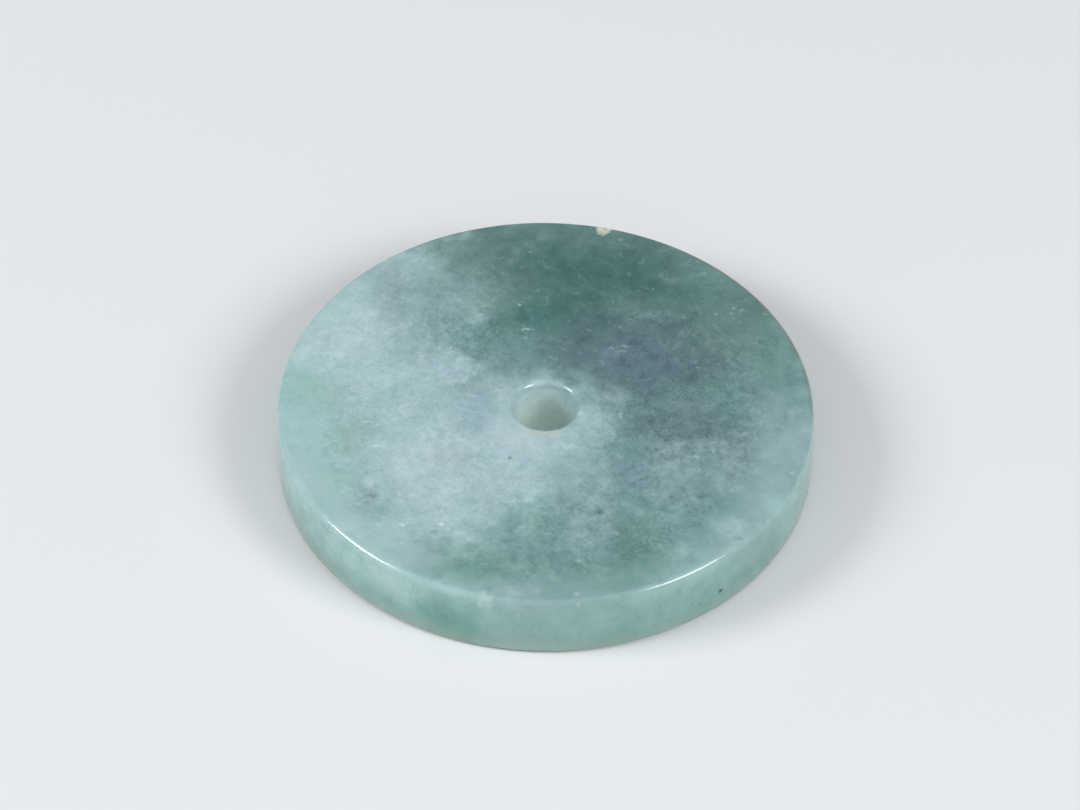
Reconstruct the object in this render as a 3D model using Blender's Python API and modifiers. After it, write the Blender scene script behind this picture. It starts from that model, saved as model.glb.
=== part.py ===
"""A jadeite disc pendant: a thick, flat, polished disc with a small bore through its middle, lying on one face.

Units are metres and +Z is up. The origin is the middle of the face that the disc lies on. The chip in the rim is
on the +Y side, a little towards +X.
"""

import math

import bpy
from mathutils import Matrix, Vector

# Driving dimensions
DISC_DIAMETER = 0.0520
DISC_THICKNESS = 0.0072
BORE_DIAMETER = 0.0061
RIM_ARRIS = 0.0006  # radius that the polishing leaves on both edges of the rim
BORE_ARRIS = 0.0006  # the same at both mouths of the bore
FALL_WIDTH = 0.0032  # the band beside the rim where each face falls away from flat
FALL_DEPTH = 0.00012  # how far each face has fallen where it would meet the rim
RIM_BELLY = 0.00008  # how far the rim swells at half its height

# The flake that is missing from the upper edge of the rim
CHIP_BEARING = math.radians(12.9)  # from +Y towards +X
CHIP_WIDTH = 0.0018  # along the rim
CHIP_REACH = 0.0018  # in from the rim, across the face
CHIP_DROP = 0.00038  # down the rim, at the scar's lowest point
CHIP_HOLLOW = 0.00014  # how far the scar is hollowed below a straight cut
CHIP_TAPER = 0.4  # share of its width that the flake loses on its way in
CHIP_SKEW = 0.00025  # how far its inner end lies to the -X side
CHIP_RIPPLE = 0.05  # unevenness of the break, as a share of the flake's size
CHIP_RINGS = 1.4  # shell-like ripples between the middle of the scar and its edge
CHIP_LOBES = 5  # uneven lobes round the scar's edge
CHIP_CLEARANCE = 0.0008  # how far the cutter stands over the edge that it takes away

# How finely the round shapes are cut
TURN_STEPS = 96
ARRIS_STEPS = 4
FALL_STEPS = 3
RIM_STEPS = 4
CHIP_SUBDIVISIONS = 3

# Polished jadeite of a pale green-blue
JADEITE_COLOUR = (0.296, 0.451, 0.445, 1.0)
JADEITE_ROUGHNESS = 0.16
JADEITE_IOR = 1.66


def clear_scene():
    """Removes the objects of the scene that the script starts in."""
    for obj in list(bpy.data.objects):
        bpy.data.objects.remove(obj, do_unlink=True)


def new_collection(name):
    collection = bpy.data.collections.new(name)
    bpy.context.scene.collection.children.link(collection)
    return collection


def jadeite():
    """Pale green-blue stone with a high polish."""
    material = bpy.data.materials.new("jadeite")
    material.use_nodes = True
    shader = material.node_tree.nodes["Principled BSDF"]
    shader.inputs["Base Color"].default_value = JADEITE_COLOUR
    shader.inputs["Metallic"].default_value = 0.0
    shader.inputs["Roughness"].default_value = JADEITE_ROUGHNESS
    shader.inputs["IOR"].default_value = JADEITE_IOR
    return material


def radius_of_bow(half_chord, rise):
    """Radius of the arc that rises by that much over a chord of twice half_chord."""
    return (half_chord**2 + rise**2) / (2 * rise)


def arc(centre, radius, start, end, steps):
    """Points (r, z) round centre. An angle of 0 points along +Z, and a quarter turn points along +r."""
    points = []
    for i in range(steps + 1):
        angle = start + (end - start) * i / steps
        points.append((centre[0] + radius * math.sin(angle), centre[1] + radius * math.cos(angle)))
    return points


def direction(origin, target):
    """The angle, as arc() counts it, in which target lies from origin."""
    return math.atan2(target[0] - origin[0], target[1] - origin[1])


def outer_meeting(centre_a, radius_a, centre_b, radius_b):
    """The point, furthest from the axis, where two circles in the (r, z) plane cross."""
    a, b = Vector(centre_a), Vector(centre_b)
    apart = (b - a).length
    along = (apart**2 + radius_a**2 - radius_b**2) / (2 * apart)
    aside = math.sqrt(radius_a**2 - along**2)
    unit = (b - a) / apart
    foot = a + unit * along
    normal = Vector((-unit.y, unit.x))
    crossings = [foot + normal * aside, foot - normal * aside]
    return tuple(max(crossings, key=lambda point: point.x))


def upper_profile():
    """The upper half of the disc's section, from the bore's wall over the face to the rim's half height."""
    rim_radius = DISC_DIAMETER / 2
    bore_radius = BORE_DIAMETER / 2
    top = DISC_THICKNESS
    middle = DISC_THICKNESS / 2

    bore_mouth = arc((bore_radius + BORE_ARRIS, top - BORE_ARRIS), BORE_ARRIS, -math.pi / 2, 0, ARRIS_STEPS)

    # The face falls along a shallow arc and the rim swells along another. The arris is a ball that fits both.
    fall_radius = radius_of_bow(FALL_WIDTH, FALL_DEPTH)
    fall_centre = (rim_radius - FALL_WIDTH, top - fall_radius)
    belly_radius = radius_of_bow(middle, RIM_BELLY)
    belly_centre = (rim_radius - belly_radius, middle)
    arris_centre = outer_meeting(fall_centre, fall_radius - RIM_ARRIS, belly_centre, belly_radius - RIM_ARRIS)
    fall_end = direction(fall_centre, arris_centre)
    belly_start = direction(belly_centre, arris_centre)

    fall = arc(fall_centre, fall_radius, 0, fall_end, FALL_STEPS)
    arris = arc(arris_centre, RIM_ARRIS, fall_end, belly_start, ARRIS_STEPS)
    belly = arc(belly_centre, belly_radius, belly_start, math.pi / 2, RIM_STEPS // 2)
    return bore_mouth + fall + arris[1:] + belly[1:]


def disc_section():
    """The closed section of the disc: up the bore, out over the upper face, down the rim and back underneath."""
    upper = upper_profile()
    lower = [(r, DISC_THICKNESS - z) for r, z in reversed(upper[:-1])]
    return upper + lower


def turned_disc(collection, material):
    """The disc, turned from its section round the Z axis."""
    section = disc_section()
    mesh = bpy.data.meshes.new("jadeite_disc")
    corners = [(r, 0.0, z) for r, z in section]
    edges = [(i, (i + 1) % len(corners)) for i in range(len(corners))]
    mesh.from_pydata(corners, edges, [])
    mesh.materials.append(material)
    disc = bpy.data.objects.new("jadeite_disc", mesh)
    collection.objects.link(disc)
    screw = disc.modifiers.new("turning", "SCREW")
    screw.axis = "Z"
    screw.angle = 2 * math.pi
    screw.steps = TURN_STEPS
    screw.render_steps = TURN_STEPS
    screw.use_merge_vertices = True
    screw.merge_threshold = 0.000005
    screw.use_smooth_shade = True
    return disc


def break_unevenness(bearing, share):
    """Swelling of the break at a bearing round the scar and a share of the way out from its middle."""
    rings = math.sin(2 * math.pi * CHIP_RINGS * share)
    lobes = math.sin(CHIP_LOBES * bearing)
    return 1.0 + CHIP_RIPPLE * (rings + lobes) / 2


def flake_point(point):
    """Moves a point of a unit ball onto the flake. Its Y runs out over the rim and its X along the rim."""
    x, y, z = point
    share = math.hypot(x, y)
    if z > 0 and share > 0:
        # The cutter's sides stand straight up from the scar's edge, so nothing overhangs it.
        x, y, share = x / share, y / share, 1.0
    swell = break_unevenness(math.atan2(y, x), share)
    inward = max(0.0, -y)
    along = x * swell * CHIP_WIDTH / 2 * (1 - CHIP_TAPER * inward) - CHIP_SKEW * inward
    out = y * swell * math.hypot(CHIP_REACH, CHIP_DROP)
    up = z * (CHIP_CLEARANCE if z > 0 else CHIP_HOLLOW * swell)
    return Vector((along, out, up))


def chip_cutter(collection):
    """A shallow, uneven bowl with straight sides that takes the flake off the rim's upper edge."""
    bpy.ops.mesh.primitive_ico_sphere_add(subdivisions=CHIP_SUBDIVISIONS, radius=1.0)
    cutter = bpy.context.active_object
    cutter.name = "chip_cutter"
    for other in list(cutter.users_collection):
        other.objects.unlink(cutter)
    collection.objects.link(cutter)
    for vertex in cutter.data.vertices:
        vertex.co = flake_point(vertex.co)

    # The scar runs from the face down to the rim, so the cutter tips out over the rim before it swings round.
    fall = CHIP_DROP - CHIP_HOLLOW
    tip = Matrix.Rotation(-math.atan2(fall, CHIP_REACH), 4, "X")
    seat = Matrix.Translation((0.0, DISC_DIAMETER / 2, DISC_THICKNESS - fall))
    swing = Matrix.Rotation(-CHIP_BEARING, 4, "Z")
    cutter.matrix_world = swing @ seat @ tip
    cutter.hide_render = True
    cutter.display_type = "WIRE"
    return cutter


def cut(obj, cutter):
    """Takes cutter's shape out of obj."""
    boolean = obj.modifiers.new("chip", "BOOLEAN")
    boolean.operation = "DIFFERENCE"
    boolean.solver = "EXACT"
    boolean.object = cutter


def main():
    clear_scene()
    parts = new_collection("jadeite_pendant")
    cutters = new_collection("cutters")
    disc = turned_disc(parts, jadeite())
    cut(disc, chip_cutter(cutters))


main()
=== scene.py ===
# %% [markdown]
# # A jadeite disc pendant
#
# The real object is one piece of jadeite: a thick flat disc, ground and polished until its faces are
# smooth, with a small bore for a cord and a little flake missing from its rim. Almost all that the eye sees
# is inside the stone: milky clouds, a green and lilac shadow, fine grain and a few white crystals. This
# lesson shapes the disc finely, then spends most of its cells on the stone.
#
# The frame holds the disc at its real size. It is loaded first and never changed, and the polished disc
# made here is laid over it.

# %% The frame
import math

import bpy
import numpy as np
from mathutils import Matrix, Vector, noise


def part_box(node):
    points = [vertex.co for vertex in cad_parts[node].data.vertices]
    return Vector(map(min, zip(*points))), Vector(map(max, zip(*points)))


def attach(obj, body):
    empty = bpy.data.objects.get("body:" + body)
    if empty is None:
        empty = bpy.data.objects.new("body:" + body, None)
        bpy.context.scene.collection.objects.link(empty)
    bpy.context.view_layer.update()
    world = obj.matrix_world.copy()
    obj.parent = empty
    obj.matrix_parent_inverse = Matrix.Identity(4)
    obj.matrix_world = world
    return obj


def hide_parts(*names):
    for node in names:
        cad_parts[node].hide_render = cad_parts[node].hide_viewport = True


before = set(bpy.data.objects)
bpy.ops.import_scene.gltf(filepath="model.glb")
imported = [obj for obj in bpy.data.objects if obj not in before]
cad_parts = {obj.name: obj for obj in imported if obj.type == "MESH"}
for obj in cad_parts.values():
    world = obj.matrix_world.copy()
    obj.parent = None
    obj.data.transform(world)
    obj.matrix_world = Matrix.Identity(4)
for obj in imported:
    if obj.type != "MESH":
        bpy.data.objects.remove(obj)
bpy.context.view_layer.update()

# %% [markdown]
# ## Sizes
#
# A lapidary thinks of this disc in millimetres, so this script does too, and turns to metres only where a
# mesh or a light is made. The width and the thickness are read from the frame. The small sizes, such as the
# rounding that the polishing leaves on each edge, are the ones that the disc was cut to.

# %% Sizes of the disc
MM = 0.001  # a millimetre in the frame's metres

disc_low, disc_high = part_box("jadeite_disc")
RADIUS = (disc_high[0] - disc_low[0]) / 2 / MM
THICKNESS = (disc_high[2] - disc_low[2]) / MM
BORE_RADIUS = 3.05
ARRIS = 0.6  # rounding of the rim's two edges and of the bore's two mouths
FALL_WIDTH = 3.2  # band beside the rim where the face falls away from flat
FALL_DEPTH = 0.12
RIM_BELLY = 0.08  # swelling of the rim at half its height
print("radius %.2f mm, thickness %.2f mm" % (RADIUS, THICKNESS))

# %% [markdown]
# ## The section
#
# A turned shape could be a curve with a Screw modifier, as the plain solid is. Here the points are worked
# out with numpy instead, because the flake needs rows of points twenty times closer than the rest of the
# disc, and only a mesh made by hand can be fine in one place and coarse in another.

# %% Straight runs and bows of the section


def run(start, end, longest):
    """Points (r, z) from start up to, but not at, end. None is further than longest from the next."""
    start, end = np.array(start), np.array(end)
    count = math.ceil(np.linalg.norm(end - start) / longest)
    shares = np.arange(count)[:, None] / count
    return start + (end - start) * shares


def bow(centre, radius, start, end, longest):
    """The same along an arc. An angle of 0 points up, and a quarter turn points away from the bore."""
    count = math.ceil(abs(end - start) * radius / longest)
    angles = start + (end - start) * np.arange(count) / count
    return np.column_stack((centre[0] + radius * np.sin(angles), centre[1] + radius * np.cos(angles)))


def bow_radius(half_chord, rise):
    """Radius of the arc that rises by that much over a chord of twice half_chord."""
    return (half_chord**2 + rise**2) / (2 * rise)


# %% [markdown]
# The face falls towards the rim along a very shallow bow, the rim swells along another, and the arris
# between them is a ball that touches both. Its centre is where two circles cross, each smaller than its bow
# by the ball's radius.

# %% The arris of the rim
fall_radius = bow_radius(FALL_WIDTH, FALL_DEPTH)
fall_centre = Vector((RADIUS - FALL_WIDTH, THICKNESS - fall_radius))
belly_radius = bow_radius(THICKNESS / 2, RIM_BELLY)
belly_centre = Vector((RADIUS - belly_radius, THICKNESS / 2))


def outer_crossing(centre_a, radius_a, centre_b, radius_b):
    """Where two circles cross, furthest from the bore."""
    apart = centre_b - centre_a
    along = (apart.length**2 + radius_a**2 - radius_b**2) / (2 * apart.length)
    aside = math.sqrt(radius_a**2 - along**2)
    unit = apart.normalized()
    normal = Vector((-unit.y, unit.x))
    foot = centre_a + unit * along
    return max(foot + normal * aside, foot - normal * aside, key=lambda point: point.x)


arris_centre = outer_crossing(fall_centre, fall_radius - ARRIS, belly_centre, belly_radius - ARRIS)
to_arris = arris_centre - fall_centre
fall_end = math.atan2(to_arris.x, to_arris.y)
to_arris = arris_centre - belly_centre
belly_start = math.atan2(to_arris.x, to_arris.y)
print("arris centre at r %.3f, z %.3f mm" % (arris_centre.x, arris_centre.y))

# %% [markdown]
# The upper half of the section runs up the bore's wall, out over the face and down the rim. The last 2.2 mm
# before the rim, and the first millimetre down it, are where the flake came off, so the rows are closest
# there.

# %% Half of the section
FACE_STEP = 0.8
WALL_STEP = 0.3
ARRIS_STEP = 0.07
FLAKE_ZONE = 2.2  # band inside the rim that has close rows on the upper side
FLAKE_DROP = 1.1  # the same down the rim


def half_section(edge_step, plain_step):
    """Points (r, z) of the upper half, from the bore's half height to just before the rim's."""
    near_rim = math.asin((RADIUS - FLAKE_ZONE - fall_centre.x) / fall_radius)
    below_flake = math.acos((THICKNESS - FLAKE_DROP - belly_centre.y) / belly_radius)
    mouth = (BORE_RADIUS + ARRIS, THICKNESS - ARRIS)
    return np.concatenate([
        run((BORE_RADIUS, THICKNESS / 2), (BORE_RADIUS, THICKNESS - ARRIS), WALL_STEP),
        bow(mouth, ARRIS, -math.pi / 2, 0, ARRIS_STEP),
        run((BORE_RADIUS + ARRIS, THICKNESS), (RADIUS - FALL_WIDTH, THICKNESS), FACE_STEP),
        bow(fall_centre, fall_radius, 0, near_rim, plain_step),
        bow(fall_centre, fall_radius, near_rim, fall_end, edge_step),
        bow(arris_centre, ARRIS, fall_end, belly_start, min(edge_step, ARRIS_STEP)),
        bow(belly_centre, belly_radius, belly_start, below_flake, edge_step),
        bow(belly_centre, belly_radius, below_flake, math.pi / 2, plain_step),
    ])


upper = half_section(edge_step=0.06, plain_step=0.3)
lower = half_section(edge_step=0.4, plain_step=0.4)
rim_middle = np.array([[RADIUS, THICKNESS / 2]])
lower = np.concatenate([lower, rim_middle])[::-1][:-1]
lower[:, 1] = THICKNESS - lower[:, 1]
section = np.concatenate([upper, lower])
print("rows round the section:", len(section))

# %% [markdown]
# ## Turning the section
#
# The turn is uneven too: 0.08 degrees a step beside the flake, and 1.2 degrees elsewhere, where a chord
# strays less than two thousandths of a millimetre from the true circle.

# %% Steps of the turn
FLAKE_BEARING = math.radians(90 - 12.9)  # from +X, so 12.9 degrees to the right of the back
FINE_HALF_ANGLE = math.radians(3.4)
FINE_TURN = math.radians(0.08)
PLAIN_TURN = math.radians(1.2)

fine_count = math.ceil(2 * FINE_HALF_ANGLE / FINE_TURN)
plain_count = math.ceil((2 * math.pi - 2 * FINE_HALF_ANGLE) / PLAIN_TURN)
fine_turns = np.linspace(-FINE_HALF_ANGLE, FINE_HALF_ANGLE, fine_count, endpoint=False)
plain_turns = np.linspace(FINE_HALF_ANGLE, 2 * math.pi - FINE_HALF_ANGLE, plain_count, endpoint=False)
turns = FLAKE_BEARING + np.concatenate([fine_turns, plain_turns])
print("steps round the disc:", len(turns))

# %% [markdown]
# A disc polished by hand is never quite true. The wheel takes a little more here than there: the face waves
# by a few hundredths of a millimetre, and the arris is fuller in some places than in others, which makes
# the light on it swell and taper. All of this takes stone away and adds none, so the disc stays inside its
# true size.

# %% What the polishing took away
FACE_WAVE = 0.02
WAVE_LENGTH = 11.0
ARRIS_WEAR = 0.035
WEAR_LENGTH = 5.0
DRILL_RINGS = 0.012  # depth of the rings that the drill left on the bore's wall
DRILL_PITCH = 0.9
DRILL_GRIT = 1.7  # how many times a millimetre the rings stray
WEAR_SEED = Vector((7, 3, 1))

next_row = np.roll(section, -1, axis=0)
last_row = np.roll(section, 1, axis=0)
tangent = next_row - last_row
tangent /= np.linalg.norm(tangent, axis=1)[:, None]
row_normal = np.column_stack((-tangent[:, 1], tangent[:, 0]))  # away from the stone, in (r, z)
on_arris = np.abs(row_normal[:, 0] * row_normal[:, 1]) * 2 * (section[:, 0] > RADIUS / 2)
on_bore = np.clip(-row_normal[:, 0], 0, 1)


def loss(point, arris_share, bore_share):
    """How much stone is gone at a point, in millimetres along its normal."""
    wave = FACE_WAVE * (0.5 + 0.5 * noise.noise(point / WAVE_LENGTH))
    wear = ARRIS_WEAR * arris_share * (0.5 + 0.5 * noise.noise(point / WEAR_LENGTH + WEAR_SEED))
    turn = math.atan2(point.y, point.x) / (2 * math.pi)
    ring = math.sin(2 * math.pi * (point.z / DRILL_PITCH + turn)) + noise.noise(point * DRILL_GRIT)
    return wave + wear + DRILL_RINGS * bore_share * (1 + ring)


points = np.empty((len(turns), len(section), 3))
for i, turn in enumerate(turns):
    cos, sin = math.cos(turn), math.sin(turn)
    for j, (r, z) in enumerate(section):
        gone = loss(Vector((r * cos, r * sin, z)), on_arris[j], on_bore[j])
        worn_r = r - gone * row_normal[j, 0]
        worn_z = z - gone * row_normal[j, 1]
        points[i, j] = worn_r * cos, worn_r * sin, worn_z
print("points on the surface:", points.shape[0] * points.shape[1])

# %% [markdown]
# ## The missing flake
#
# Jadeite breaks like thick glass with sugar in it: a shallow shell-shaped scar with faint ripples, and a
# rough, grainy skin. A Boolean could cut it out, but its edge would be as smooth as the cutter. Here the
# scar is a height field instead. It lies on a plane that tips out over the rim, and every point above it
# drops onto it.

# %% The scar's own axes
FLAKE_WIDTH = 1.8  # along the rim
FLAKE_REACH = 1.8  # in from the rim
FLAKE_DEPTH = 0.38  # down the rim, at its lowest
FLAKE_HOLLOW = 0.14
FLAKE_TAPER = 0.4
FLAKE_SKEW = 0.25  # how far its inner end lies to the left
FLAKE_SQUARENESS = 3.6  # 2 would make its outline an ellipse
FLAKE_EASE = 1.1  # the scar's lip curls up, so its outline is drawn this much wider
LIP_RISE = 0.3
LIP_POWER = 12
WIDE_LOBES, FINE_LOBES = 0.03, 0.04  # unevenness of the outline, as shares of its size
RIPPLE_HEIGHT = 0.012
RIPPLE_COUNT = 9
SUGAR_GRIT = ((5, 0.030), (11, 0.022), (23, 0.012))  # grains to a millimetre and their height

seat_drop = FLAKE_DEPTH - FLAKE_HOLLOW
swing = Matrix.Rotation(FLAKE_BEARING - math.pi / 2, 4, "Z")
seat = Matrix.Translation((0.0, RADIUS, THICKNESS - seat_drop))
tip = Matrix.Rotation(-math.atan2(seat_drop, FLAKE_REACH), 4, "X")
scar_frame = np.array(swing @ seat @ tip)
print("the scar's plane tips by %.1f degrees" % math.degrees(math.atan2(seat_drop, FLAKE_REACH)))


def scar_height(along, out):
    """Height of the broken surface over the tipped plane."""
    inward = max(0.0, -out)
    half_width = FLAKE_WIDTH / 2 * (1 - FLAKE_TAPER * min(1.0, inward / FLAKE_REACH))
    across = (along + FLAKE_SKEW * inward / FLAKE_REACH) / half_width
    bearing = math.atan2(across, out)
    swell = 1 + WIDE_LOBES * math.sin(5 * bearing) + FINE_LOBES * math.sin(11 * bearing + 1)
    power = FLAKE_SQUARENESS
    share = (abs(across) ** power + abs(out / FLAKE_REACH) ** power) ** (1 / power) / (FLAKE_EASE * swell)
    bowl = -FLAKE_HOLLOW * math.sqrt(max(0.0, 1 - share**2)) + LIP_RISE * min(share, 2.0) ** LIP_POWER
    ripples = RIPPLE_HEIGHT * math.sin(RIPPLE_COUNT * share) * min(1.0, share)
    place = Vector((along, out, 0.0))
    sugar = sum(grit * noise.noise(place * fineness) for fineness, grit in SUGAR_GRIT)
    return bowl + ripples + sugar


# %% [markdown]
# Now the flake comes off. Every point near the scar is looked at in the scar's own axes, and if it stands
# above the broken surface it drops onto it. How far it dropped tells the finish how broken the stone is
# there.

# %% Breaking the flake away
SCAR_EDGE = 0.09  # how deep the break is before it looks wholly broken
SEARCH_ALONG, SEARCH_OUT, SEARCH_BELOW = 2.2, 2.8, 1.0  # half sizes of the box that is looked at

flat_points = points.reshape(-1, 3)
scar_points = (flat_points - scar_frame[:3, 3]) @ scar_frame[:3, :3]
near_scar = np.abs(scar_points[:, 0]) < SEARCH_ALONG
near_scar &= np.abs(scar_points[:, 1]) < SEARCH_OUT
near_scar &= scar_points[:, 2] > -SEARCH_BELOW
broken = np.zeros(len(flat_points), dtype=np.float32)
for k in np.flatnonzero(near_scar):
    height = scar_height(scar_points[k, 0], scar_points[k, 1])
    if scar_points[k, 2] > height:
        broken[k] = min(1.0, (scar_points[k, 2] - height) / SCAR_EDGE)
        scar_points[k, 2] = height
        flat_points[k] = scar_frame[:3, :3] @ scar_points[k] + scar_frame[:3, 3]
print("points on the scar:", int((broken > 0).sum()))

# %% [markdown]
# ## The disc's mesh
#
# The points become one closed skin of four-sided faces. A number on each point says how broken the surface
# is there, so that the finish can tell the fresh scar from the polish.

# %% The polished disc
SHARP_ANGLE = math.radians(42)

columns, rows = len(turns), len(section)
corner = np.arange(columns * rows).reshape(columns, rows)
next_column = np.roll(corner, -1, axis=0)
above, above_next = np.roll(corner, -1, axis=1), np.roll(next_column, -1, axis=1)
faces = np.stack([corner, above, above_next, next_column], axis=-1)

mesh = bpy.data.meshes.new("jadeite_disc_polished")
mesh.from_pydata((flat_points * MM).tolist(), [], faces.reshape(-1, 4).tolist())
mesh.shade_smooth()
mesh.set_sharp_from_angle(angle=SHARP_ANGLE)
scar_mark = mesh.attributes.new("broken", "FLOAT", "POINT")
scar_mark.data.foreach_set("value", broken)
disc = bpy.data.objects.new("jadeite_disc_polished", mesh)
bpy.context.scene.collection.objects.link(disc)
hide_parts("jadeite_disc")
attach(disc, "root")
print("triangles:", 2 * len(mesh.polygons))

# %% [markdown]
# ## Writing a finish as sums
#
# A finish is a graph of nodes, but it reads best as arithmetic. A Wire holds one output of a node. Adding
# or multiplying Wires adds a Math node, so 1 - mask means what it says. Everything else comes from one
# method, which takes the node's kind, then its settings, then what goes into its sockets. The name of every
# kind starts with ShaderNode, so the method puts that in front.

# %% Wires and the finish they belong to


class Wire:
    """One output in a finish, which takes part in sums like a number."""

    def __init__(self, finish, socket):
        self.finish = finish
        self.socket = socket

    def sum(self, operation, left, right):
        return self.finish.node("Math", {"operation": operation}, {0: left, 1: right})

    def __add__(self, other):
        return self.sum("ADD", self, other)

    def __radd__(self, other):
        return self.sum("ADD", other, self)

    def __sub__(self, other):
        return self.sum("SUBTRACT", self, other)

    def __rsub__(self, other):
        return self.sum("SUBTRACT", other, self)

    def __mul__(self, other):
        return self.sum("MULTIPLY", self, other)

    def __rmul__(self, other):
        return self.sum("MULTIPLY", other, self)


class Finish:
    """A new material and the nodes that make it."""

    def __init__(self, name):
        self.material = bpy.data.materials.new(name)
        self.material.use_nodes = True
        self.tree = self.material.node_tree
        self.tree.nodes.clear()

    def node(self, kind, settings=None, inputs=None, output=0):
        """Adds a node, sets it up, fills its sockets with values or Wires, and returns one of its outputs."""
        node = self.tree.nodes.new("ShaderNode" + kind)
        for name, value in (settings or {}).items():
            setattr(node, name, value)
        for name, value in (inputs or {}).items():
            socket = node.inputs[name]
            if isinstance(value, Wire):
                self.tree.links.new(value.socket, socket)
            elif isinstance(value, tuple):
                socket.default_value = value[:len(socket.default_value)]  # a vector has no alpha
            else:
                socket.default_value = value
        return Wire(self, node.outputs[output]) if node.outputs else None


# %% [markdown]
# ## Places in the stone
#
# The clouds of a stone go right through it, so they are painted in space and not on the surface. The finish
# starts from each point's place in millimetres. Two slow swirls bend that place, so that no cloud has a
# clean outline.

# %% Where a point is, and where the swirls move it
jade = Finish("polished_jadeite")


def noise_at(where, scale, detail, roughness, output="Fac"):
    """A noise texture, read at where."""
    inputs = {"Vector": where, "Scale": scale, "Detail": detail, "Roughness": roughness}
    return jade.node("TexNoise", {"noise_dimensions": "3D"}, inputs, output)


def swirl(place, length, reach):
    """A vector that wanders from point to point, by about reach."""
    colour = noise_at(place, 1 / length, 2.0, 0.5, "Color")
    centred = jade.node("VectorMath", {"operation": "SUBTRACT"}, {0: colour, 1: (0.5, 0.5, 0.5)})
    return jade.node("VectorMath", {"operation": "SCALE"}, {0: centred, "Scale": reach})


def moved(place, by):
    return jade.node("VectorMath", {"operation": "ADD"}, {0: place, 1: by})


metres = jade.node("TexCoord", {}, {}, "Object")
place = jade.node("VectorMath", {"operation": "SCALE"}, {0: metres, "Scale": 1 / MM})
bent = moved(place, swirl(place, length=5.5, reach=6.0))
frayed = moved(bent, swirl(place, length=1.3, reach=2.2))
kneaded = moved(place, swirl(place, length=1.6, reach=2.4))

across, away, height = [jade.node("SeparateXYZ", {}, {"Vector": place}, axis) for axis in "XYZ"]
flat_place = jade.node("CombineXYZ", {}, {"X": across, "Y": away})
from_bore = jade.node("VectorMath", {"operation": "LENGTH"}, {0: flat_place}, "Value")
print("nodes that tell a point's place:", len(jade.tree.nodes))

# %% [markdown]
# Colours are written as a screen shows them, from 0 to 255.
# The shader wants them in linear light, so one helper changes them over.

# %% Colours and soft steps
MIX_A, MIX_B, MIX_RESULT = 6, 7, 2  # the colour sockets of a Mix node


def stone(red, green, blue):
    """A colour as a screen shows it, turned into linear light."""
    def light(level):
        level /= 255
        return level / 12.92 if level <= 0.04045 else ((level + 0.055) / 1.055) ** 2.4
    return light(red), light(green), light(blue), 1.0


def tinted(colour, tint, share):
    """colour, with a share of tint laid over it."""
    inputs = {0: share, MIX_A: colour, MIX_B: tint}
    return jade.node("Mix", {"data_type": "RGBA"}, inputs, MIX_RESULT)


def step(value, start, end, low=0.0, high=1.0):
    """A soft step from low, where value is start, to high, where it is end."""
    settings = {"interpolation_type": "SMOOTHSTEP", "clamp": False}
    inputs = {"Value": value, "From Min": start, "From Max": end, "To Min": low, "To Max": high}
    return jade.node("MapRange", settings, inputs)


GROUND = stone(164, 192, 194)
PALE = stone(178, 204, 207)
LAVENDER = stone(173, 195, 205)
AQUA = stone(153, 192, 188)
SPRAY = stone(166, 201, 199)
SAGE = stone(151, 182, 180)
MIST = stone(146, 173, 175)
VEIL = stone(135, 165, 165)
TEAL = stone(115, 153, 151)
MOSS = stone(101, 135, 133)
SLATE = stone(106, 132, 136)
HAZE = stone(134, 158, 163)
REED = stone(150, 184, 178)
FERN = stone(117, 158, 153)
STEEL = stone(114, 147, 151)
CHALK = stone(184, 206, 208)
LILAC = stone(98, 121, 130)
DEEP = stone(71, 110, 105)
SPINACH = stone(71, 117, 113)

# %% [markdown]
# ## The clouds
#
# Each cloud is a stretched ball that fades outwards. A noise texture alone would give clouds, but never
# these ones, so every cloud has its own centre, reach and softness, and the swirls make it look grown. A
# cloud also reaches down into the stone, so it shows again on the rim beside it.

# %% How a cloud is laid
TOP = THICKNESS


def felt(length, stretch, turn, detail, roughness, seed):
    """Noise that leans to one side, from about -1 to 1. length is the size of its largest spots."""
    leaning = jade.node("Mapping", {"vector_type": "TEXTURE"}, {
        "Vector": place,
        "Location": (seed, 0, 0),
        "Rotation": (0, 0, math.radians(turn)),
        "Scale": (length * stretch, length, length),
    })
    return (noise_at(leaning, 1.0, detail, roughness) - 0.5) * 4


FRAY = 0.55  # how far the fringe frays a cloud where it is thin

fringe = felt(length=3.4, stretch=1.0, turn=18, detail=4.0, roughness=0.5, seed=37)
fullness = 1 + fringe * FRAY
thinness = 0 - fullness


def ball(where, centre, reach, strength=1.0, soft=1.0):
    """A mask that fades from strength at the centre to nothing at reach. A low soft leaves a flat middle."""
    shrunk = tuple(1 / size for size in reach)
    back = tuple(-at / size for at, size in zip(centre, reach))
    inside = jade.node("VectorMath", {"operation": "MULTIPLY_ADD"}, {0: where, 1: shrunk, 2: back})
    share = jade.node("VectorMath", {"operation": "LENGTH"}, {0: inside}, "Value")
    fade = jade.node("Math", {"operation": "MULTIPLY_ADD"}, {0: share, 1: thinness, 2: fullness})
    return step(fade, 0.0, soft, 0.0, strength)


def clouds(colour, where, depth, reach_down, listed):
    """Lays the listed clouds: tint, strength, x, y, reach along x and y, and softness if it isn't 1."""
    for tint, strength, x, y, along, aside, *soft in listed:
        mask = ball(where, (x, y, depth), (along, aside, reach_down), strength, *soft)
        colour = tinted(colour, tint, mask)
    print("clouds laid:", len(listed))
    return colour


# %% [markdown]
# The shadow comes first. A dark mossy mass fills the back and the right of the disc, and its edge passes
# just over the bore. It is laid as a few broad balls with flat middles.

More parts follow.
